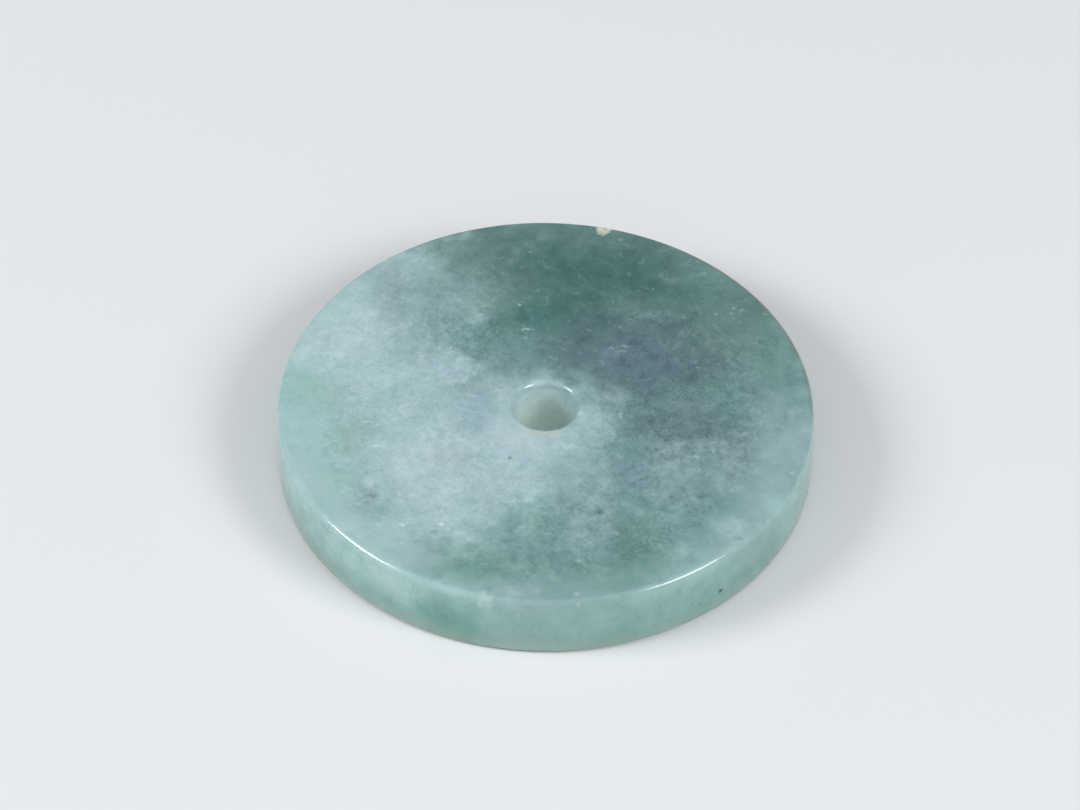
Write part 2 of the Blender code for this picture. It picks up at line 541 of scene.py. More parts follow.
# %% The broad shadow
body = clouds(GROUND, frayed, TOP, 9.0, [
    (VEIL, 0.9, -9, 18, 11, 13, 0.8),
    (VEIL, 0.6, -8, 9, 8, 8, 0.9),
    (MIST, 0.4, -14, 11, 4, 5),
    (MOSS, 1, 7, 17, 17, 15, 0.45),
    (MOSS, 1, -5, 23.5, 9, 7, 0.8),
    (MOSS, 1, 1, 9, 11, 7.5, 0.6),
    (MOSS, 1, 15, 3, 12.5, 15, 0.45),
    (MOSS, 1, 20, 14, 9, 9, 0.6),
    (TEAL, 1, 12, -11, 11, 11, 0.7),
    (TEAL, 0.9, 9.5, -5, 5.5, 10, 0.7),
    (TEAL, 1, 4, -18, 14, 7.5, 0.6),
    (MIST, 0.7, 3, -10, 6, 6),
])

# %% [markdown]
# Inside the shadow the stone turns deeper green at the back, spinach green above the bore and lilac to the
# right of it. The lilac is the colour that a little manganese gives to jadeite.

# %% Green and lilac in the shadow
body = clouds(body, frayed, TOP, 8.0, [
    (DEEP, 1, 5, 18.5, 15, 8),
    (DEEP, 0.8, 2, 13.5, 8, 5),
    (SPINACH, 0.9, -1.5, 12.5, 5, 4),
    (LILAC, 1, 10, 6.5, 9, 7),
    (LILAC, 0.7, 4, 9, 4, 4),
    (SLATE, 0.9, 13, -1.5, 9, 4),
])

# %% [markdown]
# The front and the right are calmer: teal patches with paler knots between them, and a mist along the right
# rim.

# %% Knots and mists of the front and the right
body = clouds(body, frayed, TOP, 7.0, [
    (TEAL, 0.6, 22, 6, 4, 7),
    (MIST, 1, 24, -6, 6.5, 9.5),
    (VEIL, 0.8, 19.5, -12.5, 6, 9),
    (VEIL, 1, 0, -26, 20, 4.5, 0.8),
    (MOSS, 0.65, -6, -20.8, 10, 3.5),
    (AQUA, 0.7, -10, -24, 6, 4),
    (MOSS, 0.9, 8, -17.5, 4, 5.5),
    (MIST, 0.7, 4, -14.5, 3.5, 4.5),
    (MIST, 0.7, 12.5, -8, 5, 4),
    (TEAL, 0.8, 15.5, -12, 3, 4),
])

# %% [markdown]
# The left half is milky. Its clouds are almost the same lightness and differ in hue: aqua by the rim, sage
# further in, and a bluish white round the bore.

# %% The milky half
body = clouds(body, frayed, TOP, 7.0, [
    (PALE, 1, -21, 8, 8, 10),
    (SAGE, 0.9, -19, -4, 4.5, 6),
    (VEIL, 0.7, -16, -12, 4, 4.5),
    (AQUA, 1, -24.5, 0.5, 5, 8),
    (PALE, 1, -12, -7, 8, 6),
    (LAVENDER, 1, -3.5, -5, 5, 4.5),
    (PALE, 0.7, -9.5, -13, 5, 4),
    (MIST, 0.3, -8, -3, 4, 4),
    (MIST, 0.5, -7, 3, 5, 3.5),
])

# %% [markdown]
# The knots are what makes the pattern this stone's own. Each is a few millimetres wide: a wisp of the
# shadow that reaches into the milk, or of milk that reaches into the shadow.

# %% Knots of shadow
KNOT_DEPTH = 6.0


def knots(colour, listed):
    """Lays small clouds, with rows as for clouds."""
    return clouds(colour, kneaded, TOP, KNOT_DEPTH, listed)


body = knots(body, [
    (MOSS, 0.9, 1.8, 6.2, 5.5, 3.2),
    (LILAC, 0.9, 2.2, 6.7, 5, 4),
    (TEAL, 0.7, -2.6, 5.6, 4, 3),
    (FERN, 0.9, 5, -22.8, 11, 3.2),
    (TEAL, 0.6, 3, -22.3, 6, 2.6),
    (FERN, 0.9, -5, -21.8, 9, 2.8),
    (FERN, 0.7, -7.6, -20.2, 4, 3),
    (FERN, 0.6, 9.5, -16.5, 3.5, 4),
    (MOSS, 0.9, 17.5, 15.5, 6, 5),
    (MOSS, 0.2, 18, 10, 5, 8),
    (DEEP, 0.4, 4.5, 12.3, 5, 5.5),
    (SPINACH, 0.7, -0.5, 11.8, 4.5, 3.2),
    (LILAC, 0.8, 7, 4.8, 4, 4.5),
    (LILAC, 0.9, 7.4, 9.8, 6.5, 4.2),
    (LILAC, 0.5, 10.4, 3.2, 4, 3),
    (LILAC, 0.8, 15, 5.7, 3.5, 4),
    (HAZE, 0.4, 18.9, 4.2, 4.5, 4.5),
    (VEIL, 0.8, -10.5, -20, 4.5, 3.5),
    (DEEP, 0.9, 12.2, 15.9, 7, 3.2),
    (VEIL, 0.4, 5, -5.2, 3.5, 6),
    (STEEL, 0.7, 8.2, -5.6, 4, 6),
    (VEIL, 0.3, 4.7, -10.8, 5, 4),
    (STEEL, 1, 8.8, -9.8, 6, 5),
    (MOSS, 0.8, -4.4, 19.2, 7, 3.5),
    (DEEP, 0.6, -2.8, 20, 5, 4.5),
    (DEEP, 0.55, -1.8, 21.8, 6, 3.5),
    (VEIL, 0.6, -9, 20.2, 6, 3),
    (VEIL, 1, -8.9, 14.6, 4.8, 8),
    (SLATE, 1, 10.3, -1.8, 5, 4),
    (SLATE, 0.9, 14.4, -2.8, 4.5, 3.2),
    (TEAL, 0.7, 15.2, -13.3, 3.5, 4),
    (DEEP, 0.5, 6.2, 18.6, 6, 5.5),
    (TEAL, 1, -6.2, 9, 8, 4.4),
    (HAZE, 0.5, -6.1, 2.3, 4.5, 3),
    (VEIL, 0.8, -4.4, 5.2, 5.5, 4.2),
    (SAGE, 0.5, -18.2, -4.2, 3.5, 4),
    (REED, 0.3, -20.5, -7, 3, 6),
    (MIST, 0.5, -12.8, 7.4, 4, 3.5),
    (MIST, 1, -15.1, 14.8, 4.2, 6.5),
    (MIST, 0.5, -5.1, -15.8, 2.6, 4.5),
])

# %% [markdown]
# The knots of milk come over those of shadow, as they do in the stone. Two more tints help here: a bluish
# bloom and a dusky one between it and the shadow.

# %% Knots of milk
BLOOM = stone(187, 204, 209)
DUSK = stone(152, 178, 187)

body = knots(body, [
    (HAZE, 1, 17.6, -5.4, 4.5, 3.5),
    (TEAL, 0.6, 17.5, 1.2, 4, 4),
    (MIST, 0.8, 21.2, -1.4, 3.5, 5.5),
    (TEAL, 0.9, 25.4, 3, 3.6, 8.5),
    (TEAL, 0.9, 22.8, 6, 4.5, 4),
    (FERN, 0.5, 12, -21, 5, 3),
    (PALE, 0.7, -22.4, 7.5, 4.5, 5.5),
    (AQUA, 0.8, -24.4, 1.5, 4, 5.5),
    (LAVENDER, 0.8, -10, 5.2, 4, 3.5),
    (DUSK, 0.8, -6.8, -1.2, 4, 5),
    (LAVENDER, 0.7, -7.5, -8.5, 6, 4),
    (BLOOM, 0.8, -2.3, -4.2, 3.8, 3),
    (PALE, 0.6, -11.8, -3.1, 5, 4),
    (PALE, 0.55, -18.9, 12.4, 7, 6),
    (PALE, 0.7, -15.5, 3.6, 8, 3.6),
    (GROUND, 0.25, -11.5, 10.4, 4.5, 4.5),
    (GROUND, 0.5, -14.2, 18.6, 4, 4.2),
    (CHALK, 0.8, -20.4, 7.6, 4.5, 5.5),
    (SPRAY, 0.7, -22.8, -3.4, 4, 5.5),
    (BLOOM, 0.45, -9, -9, 11, 7, 0.8),
    (VEIL, 0.45, -0.8, -17.2, 4, 4),
    (FERN, 0.8, -5.8, -20, 5, 3),
    (VEIL, 1, 4.2, -16.6, 4.5, 3.4),
    (AQUA, 0.6, -1.6, -14.6, 3, 5),
    (TEAL, 0.5, -4.5, -16.4, 3, 3.2),
    (VEIL, 0.9, 1.6, -13.4, 3.4, 3.2),
    (MOSS, 0.5, 7.7, -16.3, 2.8, 3.6),
    (VEIL, 0.6, 2.4, -23.5, 7, 2.4),
    (MOSS, 0.8, -6.5, 24.6, 4.5, 3),
    (HAZE, 0.6, 6.9, 0.3, 2.5, 2.5),
    (HAZE, 0.5, 13, -8, 6, 4),
    (VEIL, 0.7, 12.9, -11.6, 4.5, 6),
    (MOSS, 0.7, 7.8, 13.4, 4, 3.6),
    (MOSS, 0.4, 15, 17.8, 4, 5),
    (VEIL, 0.4, 15.5, -18, 4, 4),
])

# %% [markdown]
# Between the knots lie fainter wisps. Each moves the colour only a little, so that no part of the face
# looks washed out, and the darkest places are set off from the merely dark ones.

# %% Wisps between the knots
NIGHT = stone(82, 113, 118)
ASH = stone(112, 134, 132)

body = knots(body, [
    (MOSS, 0.8, -7.6, 20.8, 3.4, 4.5),
    (MOSS, 0.5, -4.4, 9.2, 4.4, 3.6),
    (STEEL, 0.6, -2.4, 6.1, 5, 3.6),
    (VEIL, 0.5, -1.9, -19.8, 5, 3.6),
    (VEIL, 0.4, 2.4, -19.2, 4.5, 3.4),
    (MOSS, 0.4, 20.7, 6.6, 3.6, 3),
    (NIGHT, 0.5, 5.4, 10.2, 5, 4),
    (VEIL, 0.2, -3.9, 15.9, 4.5, 3.4),
    (NIGHT, 0.3, 15.6, 5.4, 5.5, 3.4),
    (FERN, 0.35, -8.4, -20.4, 4, 3),
    (SLATE, 0.5, 15.6, -2.2, 4, 3.2),
    (NIGHT, 0.35, 2.4, 7.6, 5.5, 4),
    (HAZE, 0.5, 4.2, -16.8, 3, 4),
    (TEAL, 0.4, 15.3, 17.8, 4, 4.5),
    (HAZE, 0.5, 16.4, -9.7, 4, 4),
    (BLOOM, 0.3, -16.4, 9.8, 4.5, 4),
    (ASH, 0.5, 16.8, 9.4, 5, 4.4),
    (SPINACH, 0.25, -2.6, 10.9, 3.6, 3),
    (HAZE, 0.4, 11.9, -4.8, 4.4, 3.6),
    (REED, 0.35, -19.9, 1.8, 3.6, 4),
    (REED, 0.35, -19.4, -10.6, 4, 5),
    (LILAC, 0.4, 10.6, 3.4, 4, 3.4),
    (VEIL, 0.4, -15.1, 10.6, 3.4, 3.6),
    (MIST, 0.5, 4.2, -16.2, 3.4, 3.6),
    (SLATE, 0.5, 13.2, -3.2, 4.2, 3.6),
    (LAVENDER, 0.08, 7, 7.6, 3, 2.4),
    (FERN, 0.4, 5.6, -22.2, 3, 2.6),
    (TEAL, 0.15, -0.2, 8.8, 4.2, 3.6),
    (MIST, 0.3, -8, -8.2, 4, 5),
    (STEEL, 0.3, 3.8, 2.2, 4, 4),
    (FERN, 0.5, 22.6, 5.2, 3, 3),
    (MOSS, 0.3, -7.4, 18.6, 3.4, 6),
    (TEAL, 0.3, -8.7, 14.4, 3.4, 4),
    (AQUA, 0.12, 10.9, -17, 4.4, 2.6),
    (MOSS, 0.2, 5.4, -22, 3.4, 2.6),
    (NIGHT, 0.25, 10.4, -1.4, 3.6, 3.2),
    (MIST, 0.12, 18.4, 8.2, 3.2, 3.6),
    (TEAL, 0.4, -6.2, -20.6, 4.2, 2.8),
    (DEEP, 0.25, 12.9, 15.2, 4.6, 4),
    (PALE, 0.2, -6.8, -16.8, 2.6, 2.8),
    (BLOOM, 0.3, -10.4, -6.9, 4.2, 3.2),
    (SAGE, 0.5, -17.6, -5, 3, 3.6),
    (MIST, 0.35, -12.4, 7.2, 3.4, 3),
    (DUSK, 0.15, 11.4, -6.7, 3, 3.4),
    (SPRAY, 0.4, -20.4, -9.6, 3, 8),
    (TEAL, 0.3, 1.7, -14.2, 3, 3.6),
    (NIGHT, 0.2, 15.6, -1.9, 5, 2.8),
    (DUSK, 0.4, -4.7, -12.2, 3, 4.4),
    (HAZE, 0.3, -15.2, 15, 3.6, 6),
    (MOSS, 0.2, 8.6, -14.6, 3, 4),
    (CHALK, 0.35, -18, 10.8, 6, 4),
    (MIST, 0.6, 26.5, 2.5, 2.4, 4.5),
    (MOSS, 0.25, 7.3, -17, 3, 3.2),
    (FERN, 0.35, 12.6, -19.4, 2.8, 2.8),
    (DUSK, 0.17, 18.4, -5.4, 4, 3),
    (SPRAY, 0.12, 4.8, -7.4, 3.4, 5),
    (HAZE, 0.5, 18.9, -9.3, 5.6, 3.2),
    (MOSS, 0.25, 21.3, 6.3, 3.6, 2.8),
    (MIST, 0.22, -11.3, 1.3, 3, 3),
    (DUSK, 0.15, 6.3, -11.7, 4, 5),
    (HAZE, 0.17, 13.9, 0.8, 3, 3),
    (MIST, 0.17, -10.3, -15.1, 3.2, 4.4),
    (NIGHT, 0.5, 4.7, 11.6, 3.8, 3.8),
])

# %% [markdown]
# The underside isn't seen in the photograph. It gets clouds of the same kinds, in other places, that fade
# out before they reach the upper face.

# %% Clouds of the underside
body = clouds(body, frayed, 0.0, 5.0, [
    (MOSS, 0.9, -8, 15, 15, 11, 0.7),
    (TEAL, 0.9, 12, 10, 12, 13, 0.8),
    (LILAC, 0.7, -12, 8, 8, 6),
    (DEEP, 0.7, -4, 18, 9, 5),
    (VEIL, 0.8, 14, -12, 11, 8, 0.9),
    (AQUA, 0.8, -17, -13, 9, 7),
    (PALE, 0.8, 2, -8, 11, 8),
    (SAGE, 0.7, 20, 2, 6, 10),
])

# %% [markdown]
# ## Grain
#
# Jadeite is a felt of tiny interlocked crystals. In the milky part they barely show. In the shadow they
# stand out as pale fleece on dark ground. The clouds laid so far already tell the two parts from each
# other, so the shadow's mask is read from how light they are.

# %% Where the shadow is
MILKY, SHADOWED = 0.46, 0.30  # lightness, in linear light, at which a place is wholly the one or the other

lightness = jade.node("RGBToBW", {}, {"Color": body})
dark_side = step(lightness, MILKY, SHADOWED)
pale_side = 1 - dark_side
print("nodes with the clouds:", len(jade.tree.nodes))

# %% [markdown]
# The grain is the same noise everywhere, and masks say how loud it is: a little louder at the back, louder
# behind the bore on its left, and loudest to the right of the bore and in front of it.

# %% How loud the grain is
loud_back = ball(bent, (1, 17, TOP), (18, 11, 14), soft=0.6)
loud_right = ball(bent, (14, 1, TOP), (13, 16, 14), soft=0.6)
loud_front = ball(bent, (6, -17, TOP), (13, 8, 14), soft=0.6)
loud_left = ball(bent, (-8.5, 9.5, TOP), (6, 7, 14), soft=0.8)
loudness = 0.19 + 0.06 * loud_back + 0.2 * loud_right + 0.13 * loud_front + 0.14 * loud_left

# %% [markdown]
# Beside the rim the grain dies away in a smooth band. It is widest at the front and faint at the back,
# because its middle lies a little to the left of the bore and in front of it.

# %% The calm band beside the rim
BAND_MIDDLE = (-0.75, -1.2, 0.0)
BAND_START, BAND_FULL = 20.6, 22.4  # from that middle
BACK, FRONT = 12.0, -14.0
FAINT = 0.3  # strength of the band at the back
CALM = 0.75  # share of the grain that a full band takes away

band_place = moved(flat_place, tuple(-at for at in BAND_MIDDLE))
from_band_middle = jade.node("VectorMath", {"operation": "LENGTH"}, {0: band_place}, "Value")
band = step(from_band_middle, BAND_START, BAND_FULL) * step(away, BACK, FRONT, FAINT, 1.0)
quiet = 1 - band * CALM
print("the band sets in from %.1f to %.1f mm off its middle" % (BAND_START, BAND_FULL))

# %% [markdown]
# Five felts of different fineness make the grain itself. Each has its own seed, so none repeats another.

# %% The felts
broad = felt(length=4.5, stretch=1.2, turn=20, detail=1.0, roughness=0.6, seed=3)
grain = felt(length=1.5, stretch=0.8, turn=10, detail=4.0, roughness=0.95, seed=29)
fleece = felt(length=1.2, stretch=0.9, turn=15, detail=3.0, roughness=0.75, seed=11)
wisps = felt(length=2.0, stretch=1.2, turn=14, detail=4.0, roughness=0.8, seed=47)
veins = felt(length=2.4, stretch=1.1, turn=-20, detail=3.0, roughness=0.7, seed=83)

# %% [markdown]
# A pale crystal is also a greyer one: in its light red rises faster than green and blue. So the texture
# doesn't scale all three alike. Where the last felt passes through zero it draws a net of dark threads.

# %% Fleece and grain over the clouds
GREYER = (2.3, 1.95, 1.95, 1.0)  # what an amount of 1 multiplies a colour by
THREAD_WIDTH = 0.3  # how far from zero the last felt still draws
MILK = stone(190, 211, 216)
SEA = stone(141, 184, 180)
PIT = stone(62, 86, 90)


def uneven(colour, amount):
    """colour made lighter or darker by amount, and greyer where it is lighter."""
    settings = {"data_type": "RGBA", "blend_type": "MULTIPLY", "clamp_factor": False}
    return jade.node("Mix", settings, {0: amount, MIX_A: colour, MIX_B: GREYER}, MIX_RESULT)


drift = felt(length=4.0, stretch=1.1, turn=24, detail=4.0, roughness=0.75, seed=71)
body = tinted(body, AQUA, step(drift, 0.0, 0.9, 0.0, 0.5) * pale_side)
body = tinted(body, PALE, step(drift, 0.0, -0.9, 0.0, 0.6) * pale_side)
body = tinted(body, MILK, step(wisps, 0.0, 1.0, 0.0, 0.68) * pale_side * quiet)
body = tinted(body, SEA, step(veins, 0.1, 1.0, 0.0, 0.6) * pale_side)
body = tinted(body, MILK, step(fleece, 0.2, 1.2, 0.0, 0.30) * dark_side * quiet)
body = tinted(body, PIT, step(fleece, -0.2, -1.1, 0.0, 0.35) * dark_side * quiet)
net = felt(length=2.6, stretch=1.0, turn=0, detail=3.0, roughness=0.6, seed=97)
threads = step(jade.node("Math", {"operation": "ABSOLUTE"}, {0: net}), THREAD_WIDTH, 0.0)
body = tinted(body, PIT, threads * step(fringe, -0.3, 0.3) * (0.05 + 0.17 * dark_side) * quiet)
texture = grain * loudness * quiet + broad * (0.03 + 0.04 * dark_side)
body = uneven(body, texture)
print("nodes with the grain:", len(jade.tree.nodes))

# %% [markdown]
# ## Crystals and specks
#
# A few crystals near the surface catch the light as white flecks and short streaks, and a few dark specks
# lie between them. The ones that stand out on the upper face are laid one by one, with outlines that a
# third, very small swirl makes ragged.

# %% White flecks
WHITE = stone(206, 224, 226)
ragged = moved(place, swirl(place, length=0.4, reach=0.7))
FLECK_DEPTH = 0.8
SPOT_MARGIN = 1.3  # the ragged edge eats into a spot, so it is laid this much wider
fleck_noise = 0.8 + 0.8 * grain


def flecks(colour, tint, listed):
    """Lays small spots on the upper face: strength, x, y, half length along x, half length along y."""
    for strength, x, y, along, aside in listed:
        reach = (along * SPOT_MARGIN, aside * SPOT_MARGIN, FLECK_DEPTH)
        mask = ball(ragged, (x, y, TOP), reach, strength)
        colour = tinted(colour, tint, mask * fleck_noise)
    print("spots laid:", len(listed))
    return colour


body = flecks(body, WHITE, [
    (1.2, -13.5, -16.1, 0.4, 0.32),
    (1.2, -9.7, -16, 0.3, 0.28),
    (0.7, -17.3, -2.5, 0.75, 0.22),
    (0.9, -16, -5.7, 0.8, 0.24),
    (0.5, -15.3, -5.1, 0.35, 0.25),
    (0.6, -18.3, 15.9, 0.8, 0.2),
    (0.6, -6.4, 12.4, 0.3, 0.22),
    (0.5, -6, 13, 0.2, 0.16),
    (0.4, -7.3, 11.3, 0.35, 0.2),
    (0.4, -8.6, 10.4, 0.25, 0.2),
    (0.8, -2.6, 13.8, 0.25, 0.2),
    (0.45, -2, 10.4, 0.8, 0.15),
    (0.4, -9.4, 7.7, 0.35, 0.3),
    (0.45, -17.5, 8.3, 0.22, 0.2),
    (0.5, -12.9, 0.8, 0.5, 0.16),
    (0.4, -8.3, 6.2, 1.2, 0.5),
    (0.5, -6.5, 5.3, 0.2, 0.4),
    (0.5, -6.9, 4.2, 0.3, 0.25),
    (0.35, 6.3, 8, 0.6, 0.14),
    (0.3, 7.6, 8.2, 0.5, 0.14),
    (0.25, 7.2, 7.6, 0.7, 0.14),
    (0.5, 7.2, -1.2, 0.2, 0.5),
    (0.5, 14.5, -6.6, 0.4, 0.25),
    (0.12, 11.4, -8.6, 1.4, 1.2),
    (0.5, 3.2, -20.5, 0.3, 0.25),
])

# %% [markdown]
# The right and back edges carry a few small flecks too, along with pale blotches where a crystal lies
# deeper.

# %% Flecks by the rim
body = flecks(body, WHITE, [
    (0.5, -4.3, 20.4, 0.3, 0.25),
    (0.4, -1.7, 21.3, 0.3, 0.2),
    (0.45, 18.4, 13.7, 0.25, 0.2),
    (0.45, 19.2, 13.6, 0.2, 0.16),
    (0.3, 18.1, 13, 0.25, 0.16),
    (0.3, 16.6, 12.9, 0.25, 0.16),
    (0.16, 12, 17.5, 1.1, 0.7),
    (0.3, 7.2, 23.2, 0.4, 0.2),
    (0.18, 15.3, 18.5, 0.5, 0.3),
    (0.2, -18.5, -16.6, 0.8, 0.7),
    (0.2, -17.4, -17.7, 0.8, 0.7),
    (0.5, 3.2, -24.7, 0.35, 0.25),
    (0.4, 23.6, -8.5, 0.3, 0.25),
    (0.35, -5.7, -24.7, 0.3, 0.4),
    (0.25, -4.8, -24.9, 0.5, 0.4),
])

# %% [markdown]
# The dark specks are laid by the same helper. They are grains of some darker mineral, softer in outline
# than the crystals.

# %% Dark specks
INK = stone(70, 88, 90)

body = flecks(body, INK, [
    (0.9, -3.35, -7.05, 0.22, 0.2),
    (0.7, -16.3, -12.3, 0.8, 0.6),
    (0.7, 5.2, -14.1, 0.6, 0.6),
    (0.4, 15, -11.9, 0.6, 0.5),
    (0.4, 18.4, -17.2, 0.5, 0.3),
    (0.4, 6.3, -21, 0.9, 0.6),
    (0.3, 2.8, -21, 0.8, 0.5),
    (0.3, -6.8, -12.9, 0.7, 0.5),
    (0.3, -10.4, -17, 0.6, 0.5),
])

# %% [markdown]
# The smallest crystals and specks are too many to lay one by one, so they are strewn at random.

# %% Strewn crystals
STREWN_STRENGTH = 0.3


def strewn(cell, size, share, seed):
    """A mask of small dots. Each cell of the stone holds one at most, and only a share of the cells do."""
    shifted = jade.node("Mapping", {"vector_type": "POINT"}, {"Vector": ragged, "Location": (seed, 0, 0)})
    settings = {"feature": "F1"}
    inputs = {"Vector": shifted, "Scale": 1 / cell}
    distance = jade.node("TexVoronoi", settings, inputs, "Distance")
    lot = jade.node("TexVoronoi", settings, inputs, "Color")
    chosen = jade.node("SeparateColor", {}, {"Color": lot}, "Red")
    return step(distance, size / cell, 0.3 * size / cell) * step(chosen, share, share * 0.4)


white_dots = strewn(cell=1.4, size=0.18, share=0.22, seed=5)
body = tinted(body, WHITE, white_dots * STREWN_STRENGTH)
dark_dots = strewn(cell=1.7, size=0.22, share=0.25, seed=17)
body = tinted(body, PIT, dark_dots * STREWN_STRENGTH * (0.3 + 0.7 * dark_side))
print("nodes with the crystals:", len(jade.tree.nodes))

# %% [markdown]
# ## The rim, the bore and the scar
#
# The wall of the rim has tints of its own, and painted glow as well: the light that enters through the face
# and comes out there is painted into these tints.
# They are set by bearing, counted from the front of the disc towards the right, and by height.

# %% Patches on the rim's wall
RIM_SEA = stone(137, 180, 175)
RIM_GREEN = stone(110, 160, 150)
RIM_PALE = stone(156, 192, 189)
RIM_OLIVE = stone(138, 168, 155)
RIM_GREY = stone(140, 172, 172)
RIM_TEAL = stone(122, 160, 157)
FOOT_GLOW_SAND = stone(152, 170, 156)
RIM_WHITE = stone(188, 210, 208)
RIM_INK = stone(48, 60, 56)
RIM_RUST = stone(150, 140, 110)


def on_rim(bearing, level):
    """The place on the rim's wall at a bearing in degrees and a height."""
    angle = math.radians(bearing)
    return RADIUS * math.sin(angle), -RADIUS * math.cos(angle), level


def rim_patches(colour, listed):
    """Lays patches on the rim: tint, strength, bearing, height, half width, half height, and softness."""
    for tint, strength, bearing, level, along, tall, *soft in listed:
        mask = ball(bent, on_rim(bearing, level), (along, along, tall), strength, *soft)
        colour = tinted(colour, tint, mask)
    print("patches laid:", len(listed))
    return colour


wall = step(from_bore, RADIUS - 1.1, RADIUS - 0.25) * step(height, THICKNESS - 0.1, THICKNESS - 1.3)
rim_tints_and_glow = rim_patches(tinted(body, RIM_SEA, 0.65), [
    (RIM_TEAL, 0.7, 32, 5.5, 13, 4, 0.9),
    (RIM_TEAL, 0.8, 52, 4, 7, 5, 0.9),
    (RIM_TEAL, 0.5, 10, 5.5, 5, 3),
    (RIM_PALE, 0.75, -35, 4.5, 7, 5, 0.9),
    (RIM_PALE, 0.7, -52, 5, 4, 3),
    (RIM_GREEN, 1, -20, 2.5, 4.5, 5, 0.9),
    (RIM_OLIVE, 0.8, -60, 1, 9, 3),
    (RIM_OLIVE, 0.8, 6, 0.3, 6, 2.5),
    (RIM_GREY, 0.8, -3, 4, 5, 4),
    (RIM_GREEN, 0.6, 18, 2, 4.5, 4),
    (RIM_GREEN, 0.5, 38, 1.5, 5, 3),
    (RIM_SEA, 0.7, 68, 4, 6, 5),
    (RIM_GREEN, 0.9, -20, 1, 4, 2.2),
    (RIM_GREEN, 0.4, 14, 1.2, 4.5, 2),
    (RIM_GREEN, 0.35, -34, 2.8, 6, 2.5),
    (AQUA, 0.6, 26, 6.8, 6, 2),
])
streaks = jade.node("Mapping", {"vector_type": "TEXTURE"}, {"Vector": kneaded, "Scale": (1.5, 1.5, 3.0)})
streaks = noise_at(streaks, 1.0, 4.0, 0.7)
rim_tints_and_glow = uneven(rim_tints_and_glow, (streaks - 0.5) * 0.6 + fringe * 0.12)
# painted shade and light: darker towards the foot, lighter near the top where the face's light comes out
rim_tints_and_glow = uneven(rim_tints_and_glow, step(height, 0.5, 6.5, -0.17, 0.04))
# painted glow: a warm tint near the foot, for light that comes through the stone there
rim_tints_and_glow = tinted(rim_tints_and_glow, FOOT_GLOW_SAND, step(height, 2.8, 0.4, 0.0, 0.5))
body = tinted(body, rim_tints_and_glow, wall)

# %% [markdown]
# A few marks lie on the wall too: a cluster of white crystals under the front arris, ink specks at the
# right and rust stains near the foot.

# %% Marks on the rim's wall


def rim_marks(colour, listed):
    """Lays small spots on the rim: tint, strength, bearing, height, half width along the rim, half height."""
    for tint, strength, bearing, level, along, tall in listed:
        reach = (along * SPOT_MARGIN, along * SPOT_MARGIN, tall * SPOT_MARGIN)
        colour = tinted(colour, tint, ball(ragged, on_rim(bearing, level), reach, strength))
    print("marks laid:", len(listed))
    return colour


body = rim_marks(body, [
    (RIM_WHITE, 0.45, -12.3, 6.9, 1.1, 1.3),
    (RIM_WHITE, 0.4, -11.4, 6.9, 0.5, 0.4),
    (RIM_WHITE, 0.6, -13.2, 6.1, 0.35, 0.35),
    (RIM_WHITE, 0.45, -11.5, 6.2, 0.35, 0.3),
    (RIM_WHITE, 0.3, -15.2, 6.3, 0.25, 0.25),
    (RIM_WHITE, 0.5, 7.4, 6.6, 0.25, 0.3),
    (RIM_WHITE, 0.35, -35, 5, 2.2, 2.2),
    (RIM_INK, 1, 40.3, 2.6, 0.3, 0.3),
    (RIM_INK, 0.5, 34.6, 2.4, 0.25, 0.2),
    (RIM_INK, 0.5, 32.8, 2.8, 0.25, 0.2),
    (RIM_INK, 0.4, 35.9, 1.9, 0.35, 0.2),
    (RIM_RUST, 0.5, -29, 2, 0.4, 0.2),
    (RIM_RUST, 0.4, 9, 1.2, 0.6, 0.25),
    (RIM_RUST, 0.35, 28, 1, 0.8, 0.25),
])

# %% [markdown]
# The bore's wall is duller than the faces, because the polish never reached it. It is a grey green, bluer
# at its mouth and more olive deeper down, and it has a painted glow: an emission stands in for the light
# that comes through the stone into the bore. The stone round its mouth is painted paler, a painted glow of
# that light, with a warm painted glow at the front.

# %% The bore
BORE_BLUE = stone(194, 213, 217)
BORE_OLIVE = stone(188, 199, 187)
# the next colour is a painted glow: an emission colour for light that comes through the stone, not a lamp
THROUGH_GLOW = stone(135, 157, 159)  # light that has come through the stone, most of it on the milky side
HALO_GLOW = stone(184, 205, 207)
PEACH_GLOW = stone(190, 196, 186)
NO_LIGHT = (0.0, 0.0, 0.0, 1.0)

# painted glow: a paler halo round the bore's mouth, for light that comes through the stone there
painted_halo = ball(kneaded, (-1.5, -2.2, TOP), (5.6, 5.4, 9.0), strength=0.45, soft=0.8)
body = tinted(body, HALO_GLOW, painted_halo)
# painted glow: a warm tint at the front of the mouth, for the same light
body = tinted(body, PEACH_GLOW, ball(place, (0, -3.6, TOP), (2.6, 0.8, 1.5), strength=0.8))
bore_stone = tinted(BORE_OLIVE, BORE_BLUE, step(height, 2.0, 6.6))
bore_stone = uneven(bore_stone, step(across, 0.0, 2.8, 0.0, -0.25))
in_bore = step(from_bore, BORE_RADIUS + 0.2, BORE_RADIUS + 0.06) * step(height, 7.0, 6.3)
bore_stone = uneven(bore_stone, texture + fringe * 0.08)
body = tinted(body, bore_stone, in_bore)
# painted glow in the bore's wall, strongest near the mouth and on the left, sent out as emission
bore_glow_mask = in_bore * step(height, 7.4, 2.0) * step(across, 3.0, -3.0, 0.5, 1.0)
painted_bore_glow = tinted(NO_LIGHT, THROUGH_GLOW, bore_glow_mask)
print("nodes with the bore:", len(jade.tree.nodes))

# %% [markdown]
# Broken jadeite is dull and pale, here with a cream stain. A thin brown line follows the arris at the back
# right, where old dirt sits in a hairline.

# %% The scar and the brown line
CREAM = stone(224, 222, 205)
SUGAR = stone(166, 186, 172)
BROWN = stone(134, 130, 104)

